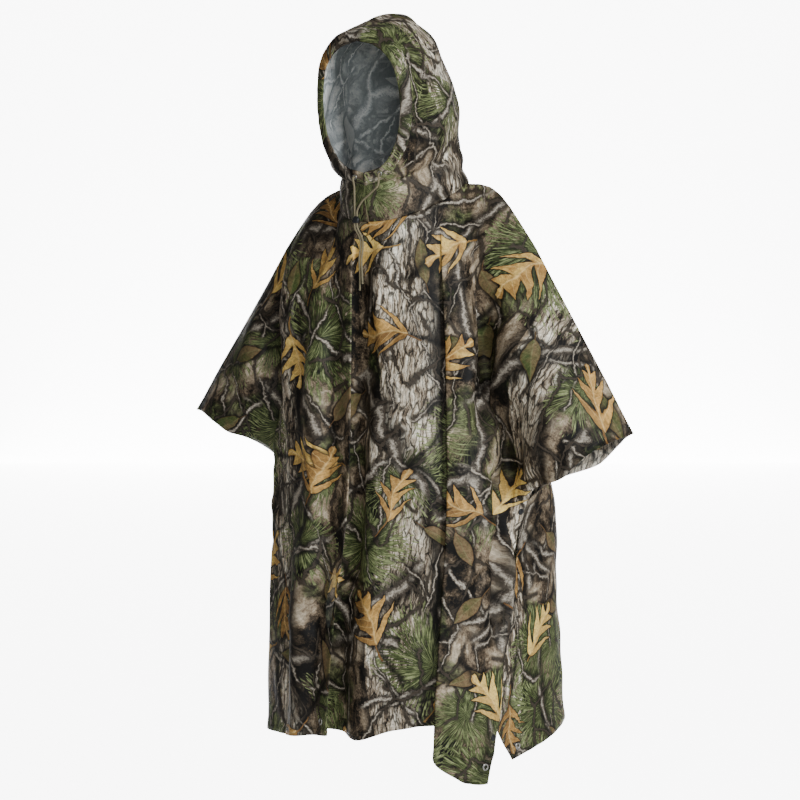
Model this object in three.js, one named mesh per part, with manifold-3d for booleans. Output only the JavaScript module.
// Hooded rain poncho, hanging as it is worn on no visible wearer.
// Millimetres. +Z is up, the face opening looks along -Y, and +X is the wearer's left.
// The origin is the middle of the neck opening at the height of the shoulders.
import * as THREE from 'three';
import { mergeVertices } from 'three/addons/utils/BufferGeometryUtils.js';
import Module from 'manifold-3d';

const wasm = await Module();
wasm.setup();

// Cloth and seams
const WALL = 2;              // thickness of every cloth wall
const GAP = 0.3;             // space left between two pieces at a seam
const SIDE_GAP = 0.7;        // the same at the snapped side edges, which curve more
const NECK_HALF_WIDTH = 120;
const NECK_FRONT = 135;      // how far the neck seam reaches forward of the origin
const NECK_BACK = 90;
const NECK_SIDE_Z = 10;      // height of the neck seam at the shoulders
const NECK_FRONT_DIP = 70;   // how much lower it is in front
const NECK_BACK_RISE = 12;   // how much higher it is behind

// Share of the way from the top line to the hem at which each level of a hang line lies
const LEVELS = [0, 0.28, 0.56, 0.78, 0.93, 1];
const HIP_SHARE = 0.5;       // height of the hip level between underarm and hem
const VENT_SHARE = 0.84;     // height at which the side vents begin

// Trim
const CASING_HALF_THICK = 3.5;   // half the thickness of the drawstring tunnel
const CASING_COLUMNS = 40;
const EYELET_HOLE_R = 3.2;
const EYELET_BARREL_R = 4.2;
const EYELET_FLANGE_R = 6.5;
const EYELET_FLANGE_THICK = 0.8;
const EYELET_CLEARANCE = 0.6;    // between a flange and the slightly curved cloth
const SNAP_R = 6;
const SNAP_THICK = 2.4;
const SNAP_CLEARANCE = 0.9;
const CORD_R = 1.8;
const LOCK_WIDTH = 13;
const LOCK_DEPTH = 8;
const LOCK_HEIGHT = 12;
const LOCK_HOLE_R = 2.2;
const LOCK_HOLE_X = 2.7;         // each hole's distance from the middle of the lock

// Shoulder and sleeve-top line, from the side of the neck to the tip of the cuff
const SHOULDER = [
  // x    y    z
  [120,   0,   10],
  [150,   0,    4],
  [175,   0,   -6],
  [195,   0,  -19],
  [215,  -1,  -38],
  [237,  -2,  -65],
  [266,  -4, -104],
  [306,  -8, -170],
  [355, -14, -248],
  [415, -23, -342],
  [467, -30, -428],
];
// The cloth stands a little higher over the wearer's left shoulder
const LEFT_LIFT = { height: 9, x: 178, spread: 42 };

// Hang lines of the front panel, from the wearer's right cuff to the left one.
// Each runs from the top line down the cloth to the hem. cols: grid columns to the next line.
const FRONT_LINES = [
  // top    chest               underarm            hip          vent         hem                cols  place
  [-467,  -350,  -98, -455,   -252,  -30, -560,   -256,  -4,   -264,   4,   -268,  12, -1030,   2], // cuff and side edge
  [-400,  -315, -108, -420,   -251,  -40, -563,   -259, -14,   -268,  -6,   -271,   2, -1026,   2], // outer sleeve
  [-310,  -262,  -92, -335,   -248,  -52, -566,   -261, -30,   -270, -22,   -273, -18, -1021,   2], // inner sleeve
  [-235,  -214,  -52, -290,   -240,  -72, -570,   -256, -62,   -266, -54,   -268, -52, -1016,   2], // valley by the body
  [-212,  -205, -112, -285,   -216, -125, -570,   -222,-130,   -226,-133,   -227,-134, -1012,   2], // outermost fold
  [-165,  -150, -128, -280,   -155, -158, -570,   -163,-170,   -167,-177,   -168,-180, -1002,   2], // hollow
  [-120,  -100, -165, -278,    -95, -197, -570,   -105,-214,   -109,-225,   -110,-228,  -987,   2], // soft fold
  [ -78,   -58, -160, -275,    -50, -187, -570,    -62,-206,    -68,-216,    -70,-220,  -982,   2], // hollow
  [ -40,   -12, -180, -270,     -3, -208, -570,    -20,-226,    -28,-234,    -30,-236,  -974,   3], // right pleat, outer edge
  [ -24,   -40, -153, -270,    -36, -180, -570,    -58,-200,    -65,-196,    -66,-196,  -976,   3], // right pleat, inner edge
  [  -8,   -10, -140, -268,      2, -168, -570,    -16,-186,    -24,-186,    -26,-186,  -977,   2], // right pleat, back layer
  [  18,    40, -160, -265,     50, -196, -570,     38,-212,     28,-218,     25,-220,  -979,   2], // middle
  [  52,    95, -150, -265,    108, -182, -570,    100,-196,     92,-202,     88,-204,  -957,   2], // left of the middle
  [  82,   142, -108, -268,    158, -148, -570,    156,-166,    152,-176,    150,-178,  -945,   2], // left pleat, back layer
  [  98,   172,  -84, -272,    206, -122, -570,    208,-140,    205,-150,    204,-152,  -952,   3], // left pleat, inner edge
  [ 108,   150, -124, -275,    172, -160, -572,    170,-182,    167,-194,    166,-197,  -998,   3], // left pleat, outer edge
  [ 120,   190, -104, -285,    228, -118, -572,    220,-142,    212,-164,    204,-172, -1036,   2], // left strip
  [ 160,   180,  -38, -290,    238,  -52, -572,    234,-102,    226,-142,    218,-155, -1044,   2], // deep valley
  [ 300,   262,  -88, -335,    247,  -42, -574,    238, -90,    233,-127,    226,-145, -1047,   2], // inner sleeve
  [ 400,   330, -112, -432,    253,  -34, -575,    241, -78,    238,-115,    232,-136, -1048,   2], // outer sleeve
  [ 467,   372, -104, -500,    256,  -25, -576,    242, -68,    240,-104,    236,-128, -1048,   0], // cuff and side edge
];

// Hang lines of the back panel, in the same order
const BACK_LINES = [
  // top    chest               underarm            hip          vent         hem                cols  place
  [-467,  -360,   58, -495,   -252,  -27, -560,   -256,  -1,   -264,   7,   -266,  30, -1005,   2], // cuff and side edge
  [-400,  -322,   78, -425,   -258,   -4, -563,   -264,  18,   -270,  28,   -272,  45, -1000,   2], // outer sleeve
  [-310,  -262,   72, -335,   -262,   36, -566,   -268,  56,   -274,  66,   -276,  75,  -994,   2], // inner sleeve
  [-235,  -216,   52, -290,   -252,   92, -570,   -262, 105,   -266, 110,   -268, 112,  -988,   2], // valley by the body
  [-200,  -196,  122, -285,   -228,  150, -570,   -238, 160,   -244, 166,   -246, 168,  -985,   2], // outermost fold
  [-150,  -140,  126, -280,   -160,  162, -570,   -166, 172,   -171, 178,   -172, 180,  -976,   2], // hollow
  [-120,   -84,  152, -275,    -92,  200, -570,    -96, 212,    -99, 220,   -100, 222,  -970,   2], // soft fold
  [ -45,   -26,  142, -272,    -30,  184, -570,    -32, 196,    -35, 202,    -36, 204,  -962,   2], // hollow
  [  30,    34,  154, -272,     36,  200, -570,     38, 214,     40, 222,     40, 224,  -962,   2], // soft fold
  [  80,    90,  138, -275,     98,  178, -570,    102, 190,    105, 196,    106, 198,  -968,   2], // hollow
  [ 120,   142,  140, -280,    160,  188, -570,    168, 200,    174, 206,    176, 208,  -978,   2], // soft fold
  [ 190,   200,  104, -285,    230,  150, -570,    236, 156,    246, 161,    250, 162,  -986,   2], // outermost fold
  [ 235,   214,   48, -290,    258,   84, -570,    264,  84,    270,  83,    272,  80,  -998,   2], // valley by the body
  [ 310,   262,   66, -335,    264,   34, -572,    260,  26,    264,  14,    266,  12, -1010,   2], // inner sleeve
  [ 400,   325,   76, -425,    260,    2, -574,    250, -22,    254, -40,    258, -26, -1016,   2], // outer sleeve
  [ 467,   366,   64, -494,    256,  -22, -576,    242, -65,    240,-101,    249, -56, -1022,   0], // cuff and side edge
];

// Grid rows between one level and the next, from the top line to the hem
const PANEL_ROWS = [6, 6, 4, 3, 2];
// Rows in which the side edges are closed, and how far in from the edge the back panel gives way
const CLOSURE_ROWS = { first: 12, last: 19 };
const CLOSURE_EASE = [1, 0.7, 0.35];
// The cloth is fuller over the shoulders than a straight hang line
const FULLNESS = { shoulder: 34, x: 190, spread: 60, sleeve: 12, sleeveFrom: 240, base: 4 };

// Hood, left half: front seam below the chin, then the edge of the face opening up to the brow
const HOOD_FRONT_SEAM = [
  [0, -135, -60],
  [0, -146, -30],
  [0, -150, 5],
];
const HOOD_FACE_EDGE = [
  [0, -150, 5],
  [46, -149, 22],
  [84, -150, 70],
  [97, -152, 125],
  [97, -156, 180],
  [84, -162, 236],
  [50, -164, 273],
  [0, -164, 284],
];
const HOOD_BACK_SEAM = [
  [0, 90, 22],
  [0, 92, 80],
  [0, 93, 150],
  [0, 87, 222],
  [0, 70, 282],
];
const HOOD_TOP_SEAM = [
  [0, -164, 284],
  [0, -120, 306],
  [0, -50, 322],
  [0, 16, 321],
  [0, 70, 282],
];
// Edge of the face opening itself, on the wearer's left
const OPENING = [
  [0, -156, 26],
  [38, -155, 38],
  [68, -158, 78],
  [80, -162, 125],
  [79, -167, 178],
  [66, -174, 222],
  [36, -178, 250],
  [0, -178, 260],
];
const HOOD_COLUMNS = 14;
const HOOD_SEAM_ROWS = 3;
const HOOD_FACE_ROWS = 12;
const HOOD_COLLAR = { bulge: 14, at: 0.17, spread: 0.11 };   // fullness of the cloth round the neck

// Where the corner eyelets sit: panel, column and row as shares of its grid
const HEM_EYELETS = {
  eyelet_front_left: { panel: 'front', column: 0.945, row: 0.964 },
  eyelet_front_right: { panel: 'front', column: 0.055, row: 0.964 },
  eyelet_front_fold: { panel: 'front', column: 0.34, row: 0.968 },
  eyelet_back_left: { panel: 'back', column: 0.955, row: 0.97 },
  eyelet_back_right: { panel: 'back', column: 0.045, row: 0.97 },
};
const SIDE_SNAPS = {
  snap_left_upper: { column: 0.96, row: 0.575 },
  snap_left_lower: { column: 0.96, row: 0.9 },
  snap_right_upper: { column: 0.05, row: 0.575 },
  snap_right_lower: { column: 0.045, row: 0.9 },
};

// Drawstring: the middle of each strand, from its eyelet in the casing to its free end
const STRAND_RIGHT = [
  [-17, -160, 2],
  [-19, -156, -16],
  [-22, -151, -34],
  [-22.7, -149, -44],
  [-22.7, -149, -56],
  [-22.7, -149, -70],
  [-17, -145, -84],
  [-13.5, -143.8, -96],
  [-14, -144.5, -112],
  [-15.5, -145.5, -126],
  [-14, -146, -150],
  [-13, -147.5, -184],
];
const STRAND_LEFT = [
  [33, -160, 6],
  [14, -156, -10],
  [-7, -153, -26],
  [-17.3, -150, -42],
  [-17.3, -149, -56],
  [-17.3, -149, -70],
  [-12, -145.5, -84],
  [-8.5, -144.5, -96],
  [-9, -145, -112],
  [-10.5, -146, -128],
  [-8.5, -147.5, -150],
  [-6.5, -149, -172],
];
const LOCK_CENTRE = [-20, -149, -56];
// The drawstring comes out at these sections of the casing, counted from below the chin to the left
const CASING_EXITS = {
  right: CASING_COLUMNS - 1,
  left: 2,
};
const CASING_EYELET_RING = 3.4;
const CASING_EYELET_TUBE = 1.1;

const add = (a, b, k = 1) => a.map((v, i) => v + k * b[i]);
const subtract = (a, b) => add(a, b, -1);
const scale = (a, k) => a.map((v) => v * k);
const dot = (a, b) => a[0] * b[0] + a[1] * b[1] + a[2] * b[2];
const cross = (a, b) => [
  a[1] * b[2] - a[2] * b[1],
  a[2] * b[0] - a[0] * b[2],
  a[0] * b[1] - a[1] * b[0],
];
const length = (a) => Math.sqrt(dot(a, a));
const unit = (a) => scale(a, 1 / length(a));
const bump = (x, at, spread) => Math.exp(-(((x - at) / spread) ** 2));

// Smooth curve through the points at the given knots, as a function of the knot value
function smooth(knots, points) {
  const last = knots.length - 1;
  const chord = knots.slice(1).map((k, i) => scale(subtract(points[i + 1], points[i]), 1 / (k - knots[i])));
  const slope = points.map((p, i) => {
    if (i === 0) return chord[0];
    if (i === last) return chord[last - 1];
    const before = knots[i] - knots[i - 1];
    const after = knots[i + 1] - knots[i];
    return scale(add(scale(chord[i - 1], after), chord[i], before), 1 / (before + after));
  });
  return (x) => {
    let i = 0;
    while (i < last - 1 && x >= knots[i + 1]) i += 1;
    const h = knots[i + 1] - knots[i];
    const w = (x - knots[i]) / h;
    const parts = [
      scale(points[i], 2 * w ** 3 - 3 * w ** 2 + 1),
      scale(slope[i], (w ** 3 - 2 * w ** 2 + w) * h),
      scale(points[i + 1], -2 * w ** 3 + 3 * w ** 2),
      scale(slope[i + 1], (w ** 3 - w ** 2) * h),
    ];
    return parts.reduce((sum, part) => add(sum, part));
  };
}

// The same curve, stepped evenly by its chord length
function evenCurve(points, steps) {
  const knots = [0];
  points.slice(1).forEach((p, i) => knots.push(knots[i] + length(subtract(p, points[i]))));
  const at = smooth(knots, points);
  return Array.from({ length: steps + 1 }, (_, i) => at((knots[knots.length - 1] * i) / steps));
}

// Shares of the way along a run of intervals that each have their own number of steps
function steppedKnots(knots, steps) {
  const out = [knots[0]];
  steps.forEach((n, i) => {
    for (let k = 1; k <= n; k += 1) out.push(knots[i] + ((knots[i + 1] - knots[i]) * k) / n);
  });
  return out;
}

// Point of the neck seam; share 0 is the front, 0.5 the side, 1 the back
function neckRing(share) {
  const angle = Math.PI * share;
  const c = Math.cos(angle);
  const y = c > 0 ? -NECK_FRONT * c : -NECK_BACK * c;
  const z = NECK_SIDE_Z - (c > 0 ? NECK_FRONT_DIP * c : NECK_BACK_RISE * c);
  return [NECK_HALF_WIDTH * Math.sin(angle), y, z];
}

// Point of a panel's top line at x: the neck seam, then the shoulder and the top of the sleeve
function topPoint(x, facing) {
  const a = Math.abs(x);
  if (a <= NECK_HALF_WIDTH) {
    const c = Math.sqrt(1 - (a / NECK_HALF_WIDTH) ** 2);
    if (facing < 0) return [x, -NECK_FRONT * c, NECK_SIDE_Z - NECK_FRONT_DIP * c];
    return [x, NECK_BACK * c, NECK_SIDE_Z + NECK_BACK_RISE * c];
  }
  let i = 0;
  while (i < SHOULDER.length - 2 && a > SHOULDER[i + 1][0]) i += 1;
  const [x0, y0, z0] = SHOULDER[i];
  const [x1, y1, z1] = SHOULDER[i + 1];
  const w = (a - x0) / (x1 - x0);
  const lift = x > 0 ? LEFT_LIFT.height * bump(x, LEFT_LIFT.x, LEFT_LIFT.spread) : 0;
  return [x, y0 + w * (y1 - y0), z0 + w * (z1 - z0) + lift];
}

// Middle surface of a panel as rows of points; facing is -1 in front and 1 behind
function panelGrid(lines, facing) {
  const rows = steppedKnots(LEVELS, PANEL_ROWS);
  const hung = lines.map((line) => {
    const [top, cx, cy, cz, ax, ay, az, hx, hy, vx, vy, ex, ey, ez] = line;
    const drop = ez - az;
    const levels = [
      topPoint(top, facing),
      [cx, cy, cz],
      [ax, ay, az],
      [hx, hy, az + HIP_SHARE * drop],
      [vx, vy, az + VENT_SHARE * drop],
      [ex, ey, ez],
    ];
    const at = smooth(LEVELS, levels);
    const a = Math.abs(top);
    const full = FULLNESS.shoulder * bump(a, FULLNESS.x, FULLNESS.spread)
      + (a > FULLNESS.sleeveFrom ? FULLNESS.sleeve : 0) + FULLNESS.base;
    return rows.map((row) => {
      const share = row < LEVELS[1] ? Math.sin((Math.PI * row) / LEVELS[1]) : 0;
      return add(at(row), [0, facing * 0.8 * full, 0.6 * full], share);
    });
  });
  const places = lines.map((line, i) => i);
  const columns = steppedKnots(places, lines.slice(0, -1).map((line) => line[14]));
  const grid = rows.map((row, j) => {
    const across = smooth(places, hung.map((line) => line[j]));
    return columns.map((c) => across(c));
  });
  // The first row is drawn onto the top line itself, and the rows below follow it less and less
  const toTopLine = columns.map((c, i) => {
    const k = Math.min(Math.floor(c), lines.length - 2);
    const x = lines[k][0] + (lines[k + 1][0] - lines[k][0]) * (c - k);
    return subtract(topPoint(x, facing), grid[0][i]);
  });
  return grid.map((points, j) => {
    const share = Math.max(0, 1 - rows[j] / LEVELS[1]) ** 2;
    return points.map((p, i) => add(p, toTopLine[i], share));
  });
}

// Middle surface of the hood's left half: rows go up from the neck, columns from front to back
function hoodGrid() {
  const seam = evenCurve(HOOD_FRONT_SEAM, HOOD_SEAM_ROWS);
  const front = seam.concat(evenCurve(HOOD_FACE_EDGE, HOOD_FACE_ROWS).slice(1));
  const rows = front.length - 1;
  const back = evenCurve(HOOD_BACK_SEAM, rows);
  const top = evenCurve(HOOD_TOP_SEAM, HOOD_COLUMNS);
  const neck = top.map((p, i) => neckRing(i / HOOD_COLUMNS));
  return front.map((edge, j) => {
    const t = j / rows;
    return top.map((crown, i) => {
      const s = i / HOOD_COLUMNS;
      const blend = (bs, bt) => {
        const edges = [
          scale(edge, bs),
          scale(back[j], 1 - bs),
          scale(neck[i], bt),
          scale(crown, 1 - bt),
          scale(neck[0], -bs * bt),
          scale(neck[HOOD_COLUMNS], -(1 - bs) * bt),
          scale(top[0], -bs * (1 - bt)),
          scale(top[HOOD_COLUMNS], -(1 - bs) * (1 - bt)),
        ];
        return edges.reduce((sum, part) => add(sum, part));
      };
      const point = blend(1 - s, 1 - t);
      const collar = HOOD_COLLAR.bulge * bump(t, HOOD_COLLAR.at, HOOD_COLLAR.spread);
      point[0] += collar * Math.sin(Math.PI * s);
      return point;
    });
  });
}

// Unit normals of a grid of points, from the steps on both sides of each
function gridNormals(grid) {
  const rows = grid.length - 1;
  const columns = grid[0].length - 1;
  return grid.map((row, j) => row.map((_, i) => {
    const across = subtract(grid[j][Math.min(i + 1, columns)], grid[j][Math.max(i - 1, 0)]);
    const down = subtract(grid[Math.min(j + 1, rows)][i], grid[Math.max(j - 1, 0)][i]);
    return unit(cross(across, down));
  }));
}

// Closed mesh from positions and triangles, turned so that its faces look outward
function closedGeometry(points, triangles) {
  let volume = 0;
  triangles.forEach(([a, b, c]) => {
    volume += dot(points[a], cross(points[b], points[c]));
  });
  const outward = volume > 0 ? triangles : triangles.map(([a, b, c]) => [a, c, b]);
  const geometry = new THREE.BufferGeometry();
  geometry.setAttribute('position', new THREE.Float32BufferAttribute(points.flat(), 3));
  geometry.setIndex(outward.flat());
  return geometry;
}

// Wall of even thickness on both sides of a grid; limit moves a finished point if it must stay clear
function wallGeometry(grid, limit = (point) => point) {
  const rows = grid.length;
  const columns = grid[0].length;
  const normals = gridNormals(grid);
  const side = (k) => grid.flatMap((row, j) => row.map((p, i) => limit(add(p, normals[j][i], k), j, i)));
  const points = side(WALL / 2).concat(side(-WALL / 2));
  const under = rows * columns;
  const at = (j, i) => j * columns + i;
  const triangles = [];
  const quad = (a, b, c, d) => triangles.push([a, b, c], [a, c, d]);
  for (let j = 0; j < rows - 1; j += 1) {
    for (let i = 0; i < columns - 1; i += 1) {
      quad(at(j, i), at(j, i + 1), at(j + 1, i + 1), at(j + 1, i));
      quad(under + at(j, i), under + at(j + 1, i), under + at(j + 1, i + 1), under + at(j, i + 1));
    }
  }
  for (let i = 0; i < columns - 1; i += 1) {
    quad(at(0, i), under + at(0, i), under + at(0, i + 1), at(0, i + 1));
    quad(at(rows - 1, i), at(rows - 1, i + 1), under + at(rows - 1, i + 1), under + at(rows - 1, i));
  }
  for (let j = 0; j < rows - 1; j += 1) {
    quad(at(j, 0), at(j + 1, 0), under + at(j + 1, 0), under + at(j, 0));
    quad(at(j, columns - 1), under + at(j, columns - 1), under + at(j + 1, columns - 1), at(j + 1, columns - 1));
  }
  return closedGeometry(points, triangles);
}

// Closed ring of sections; each section is a list of the same number of points
function ringGeometry(sections) {
  const n = sections.length;
  const m = sections[0].length;
  const triangles = [];
  sections.forEach((_, j) => {
    const next = (j + 1) % n;
    for (let i = 0; i < m; i += 1) {
      const k = (i + 1) % m;
      triangles.push([j * m + i, next * m + i, next * m + k], [j * m + i, next * m + k, j * m + k]);
    }
  });
  return closedGeometry(sections.flat(), triangles);
}

function toManifold(geometry) {
  const bare = new THREE.BufferGeometry();
  bare.setAttribute('position', geometry.getAttribute('position').clone());
  if (geometry.index) bare.setIndex(geometry.index.clone());
  const merged = mergeVertices(bare, 1e-4);
  return new wasm.Manifold(new wasm.Mesh({
    numProp: 3,
    vertProperties: new Float32Array(merged.getAttribute('position').array),
    triVerts: new Uint32Array(merged.index.array),
  }));
}

function fromManifold(solid) {
  const mesh = solid.getMesh();
  const geometry = new THREE.BufferGeometry();
  geometry.setAttribute('position', new THREE.Float32BufferAttribute(mesh.vertProperties, 3));
  geometry.setIndex(Array.from(mesh.triVerts));
  return geometry;
}

// Turns a piece made round +Z at the origin to stand on a point with its +Z along a direction
function placed(geometry, point, direction) {
  const turn = new THREE.Quaternion().setFromUnitVectors(
    new THREE.Vector3(0, 0, 1),
    new THREE.Vector3(...unit(direction)),
  );
  return geometry.applyQuaternion(turn).translate(...point);
}

// Point and outward direction of a grid at shares of its columns and rows
function onGrid(grid, columnShare, rowShare, facing) {
  const j = rowShare * (grid.length - 1);
  const i = columnShare * (grid[0].length - 1);
  const j0 = Math.min(Math.floor(j), grid.length - 2);
  const i0 = Math.min(Math.floor(i), grid[0].length - 2);
  const mix = (a, b, w) => add(scale(a, 1 - w), b, w);
  const upper = mix(grid[j0][i0], grid[j0][i0 + 1], i - i0);
  const lower = mix(grid[j0 + 1][i0], grid[j0 + 1][i0 + 1], i - i0);
  const point = mix(upper, lower, j - j0);
  const across = subtract(grid[j0][i0 + 1], grid[j0][i0]);
  const down = subtract(grid[j0 + 1][i0], grid[j0][i0]);
  const normal = unit(cross(across, down));
  const outward = facing * normal[1] > 0 ? normal : scale(normal, -1);
  return { point, outward };
}

// Eyelet: a barrel through the cloth with a flange on each face
function eyeletGeometry(clothThick) {
  const inner = clothThick / 2 + EYELET_CLEARANCE;
  const outer = inner + EYELET_FLANGE_THICK;
  const profile = [
    [EYELET_HOLE_R, -outer],
    [EYELET_FLANGE_R, -outer],
    [EYELET_FLANGE_R, -inner],
    [EYELET_BARREL_R, -inner],
    [EYELET_BARREL_R, inner],
    [EYELET_FLANGE_R, inner],
    [EYELET_FLANGE_R, outer],
    [EYELET_HOLE_R, outer],
  ];
  const steps = 16;
  const sections = Array.from({ length: steps }, (_, k) => {
    const a = (2 * Math.PI * k) / steps;
    return profile.map(([r, z]) => [r * Math.cos(a), r * Math.sin(a), z]);
  });
  return ringGeometry(sections);
}

const round = (radius, height, sides) => new THREE.CylinderGeometry(radius, radius, height, sides)
  .rotateX(Math.PI / 2);

const group = new THREE.Group();
function piece(name, geometry, color, roughness = 0.7) {
  const material = new THREE.MeshStandardMaterial({ color, roughness });
  const mesh = new THREE.Mesh(geometry, material);
  mesh.name = name;
  group.add(mesh);
}

const CLOTH = 0x5f5c3f;
const CORD = 0x8a8058;
const METAL = 0xb8b4a4;
const BLACK = 0x202020;

const frontGrid = panelGrid(FRONT_LINES, -1);
const backGrid = panelGrid(BACK_LINES, 1);

// Side edge of the front panel at a height; column is its first or its last
function sideEdge(column, z) {
  const edge = frontGrid.slice(CLOSURE_ROWS.first).map((row) => row[column]);
  let j = 0;
  while (j < edge.length - 2 && edge[j + 1][2] > z) j += 1;
  const w = (z - edge[j][2]) / (edge[j + 1][2] - edge[j][2]);
  return add(scale(edge[j], 1 - w), edge[j + 1], w);
}

// From the underarm to the vent the back panel's side edges are drawn to the front panel's
backGrid.forEach((row, j) => {
  if (j < CLOSURE_ROWS.first || j > CLOSURE_ROWS.last) return;
  const last = row.length - 1;
  for (const [edge, step, column] of [[0, 1, 0], [last, -1, frontGrid[0].length - 1]]) {
    const target = sideEdge(column, row[edge][2]);
    const shift = subtract(target, row[edge]);
    CLOSURE_EASE.forEach((share, k) => {
      row[edge + k * step] = add(row[edge + k * step], shift, share);
    });
  }
});

// The two panels lie edge to edge along the shoulders and, below the underarm, along the sides
const shoulderY = (x) => topPoint(Math.max(NECK_HALF_WIDTH, Math.abs(x)), -1)[1];
const closed = (j) => j >= CLOSURE_ROWS.first && j <= CLOSURE_ROWS.last;
function keepClear(grid, facing) {
  const last = grid[0].length - 1;
  return (p, j, i) => {
    let seam = null;
    if (j === 0) seam = shoulderY(p[0]);
    else if (closed(j) && i === 0) seam = sideEdge(0, p[2])[1];
    else if (closed(j) && i === last) seam = sideEdge(frontGrid[0].length - 1, p[2])[1];
    if (seam === null) return p;
    const y = seam + (facing * (j === 0 ? GAP : SIDE_GAP)) / 2;
    return [p[0], facing < 0 ? Math.min(p[1], y) : Math.max(p[1], y), p[2]];
  };
}
const panels = {
  front: { grid: frontGrid, facing: -1 },
  back: { grid: backGrid, facing: 1 },
};
for (const panel of Object.values(panels)) {
  panel.solid = toManifold(wallGeometry(panel.grid, keepClear(panel.grid, panel.facing)));
}

for (const [name, spot] of Object.entries(HEM_EYELETS)) {
  const panel = panels[spot.panel];
  const { point, outward } = onGrid(panel.grid, spot.column, spot.row, panel.facing);
  const hole = placed(round(EYELET_BARREL_R + EYELET_CLEARANCE, 7, 16), point, outward);
  panel.solid = panel.solid.subtract(toManifold(hole));
  piece(name, placed(eyeletGeometry(WALL), point, outward), METAL, 0.35);
}
piece('front_panel', fromManifold(panels.front.solid), CLOTH);
piece('back_panel', fromManifold(panels.back.solid), CLOTH);

for (const [name, spot] of Object.entries(SIDE_SNAPS)) {
  const { point, outward } = onGrid(frontGrid, spot.column, spot.row, -1);
  const centre = add(point, outward, WALL / 2 + SNAP_CLEARANCE + SNAP_THICK / 2);
  piece(name, placed(round(SNAP_R, SNAP_THICK, 16), centre, outward), BLACK, 0.5);
}

// Hood: two halves that meet at the seam in the middle, standing on the neck seam
const hoodMiddle = hoodGrid();
const raise = (p, j, i) => {
  if (j > 0) return p;
  const side = Math.sin((Math.PI * i) / HOOD_COLUMNS);
  return [p[0], p[1], p[2] + GAP + WALL / 2 + 0.2 * side];
};
const leftHalf = wallGeometry(hoodMiddle, (p, j, i) => {
  const q = raise(p, j, i);
  return [Math.max(q[0], GAP / 2), q[1], q[2]];
});
piece('hood_left', leftHalf, CLOTH);
const rightGrid = hoodMiddle.map((row) => row.map(([x, y, z]) => [-x, y, z]));
const rightHalf = wallGeometry(rightGrid, (p, j, i) => {
  const q = raise(p, j, i);
  return [Math.min(q[0], -GAP / 2), q[1], q[2]];
});
piece('hood_right', rightHalf, CLOTH);

// Casing: a flat tunnel between the hood's edge and the face opening, all the way round
const half = CASING_COLUMNS / 2;
const loop = (points) => {
  const left = evenCurve(points, half);
  const right = left.slice(1, -1).reverse().map(([x, y, z]) => [-x, y, z]);
  return left.concat(right);
};
const outerEdge = loop(HOOD_FACE_EDGE);
const innerEdge = loop(OPENING);
const casingFrames = outerEdge.map((outer, k) => {
  const inner = innerEdge[k];
  const along = subtract(outerEdge[(k + 1) % CASING_COLUMNS], outerEdge[(k + CASING_COLUMNS - 1) % CASING_COLUMNS]);
  const wide = unit(subtract(outer, inner));
  const thick = unit(cross(wide, along));
  const reach = length(subtract(outer, inner)) / 2 - GAP / 2 - 1;
  const centre = add(scale(add(outer, inner), 0.5), wide, -0.9);
  return { centre, wide, thick, reach };
});
const casingSections = casingFrames.map(({ centre, wide, thick, reach }) => (
  [0, 1, 2, 3, 4, 5, 6, 7].map((c) => {
    const a = (Math.PI * c) / 4;
    const across = Math.sign(Math.cos(a)) * Math.abs(Math.cos(a)) ** 0.5 * reach;
    const out = Math.sin(a) * CASING_HALF_THICK;
    return add(add(centre, wide, across), thick, out);
  })
));
piece('hood_casing', ringGeometry(casingSections), CLOTH);

// Drawstring, cord lock and the two eyelets it comes out of
function cordGeometry(points) {
  const path = new THREE.CatmullRomCurve3(points.map((p) => new THREE.Vector3(...p)), false, 'centripetal');
  const section = new THREE.Shape(Array.from({ length: 8 }, (_, k) => {
    const a = (Math.PI * k) / 4;
    return new THREE.Vector2(CORD_R * Math.cos(a), CORD_R * Math.sin(a));
  }));
  return new THREE.ExtrudeGeometry(section, { steps: 34, extrudePath: path, bevelEnabled: false });
}
const strands = { right: STRAND_RIGHT, left: STRAND_LEFT };
for (const [side, path] of Object.entries(strands)) {
  const { centre, thick } = casingFrames[CASING_EXITS[side]];
  const outward = thick[1] < 0 ? thick : scale(thick, -1);
  const face = add(centre, outward, CASING_HALF_THICK + GAP);
  const ring = new THREE.TorusGeometry(CASING_EYELET_RING, CASING_EYELET_TUBE, 6, 14);
  piece('casing_eyelet_' + side, placed(ring, add(face, outward, CASING_EYELET_TUBE), outward), METAL, 0.35);
  piece('drawstring_' + side, cordGeometry([face, add(face, outward, 5), ...path]), CORD);
}

let lock = toManifold(new THREE.BoxGeometry(LOCK_WIDTH, LOCK_DEPTH, LOCK_HEIGHT));
for (const x of [-LOCK_HOLE_X, LOCK_HOLE_X]) {
  lock = lock.subtract(toManifold(round(LOCK_HOLE_R + GAP, LOCK_HEIGHT + 4, 12).translate(x, 0, 0)));
}
piece('cord_lock', fromManifold(lock).translate(...LOCK_CENTRE), BLACK, 0.5);

export default group;
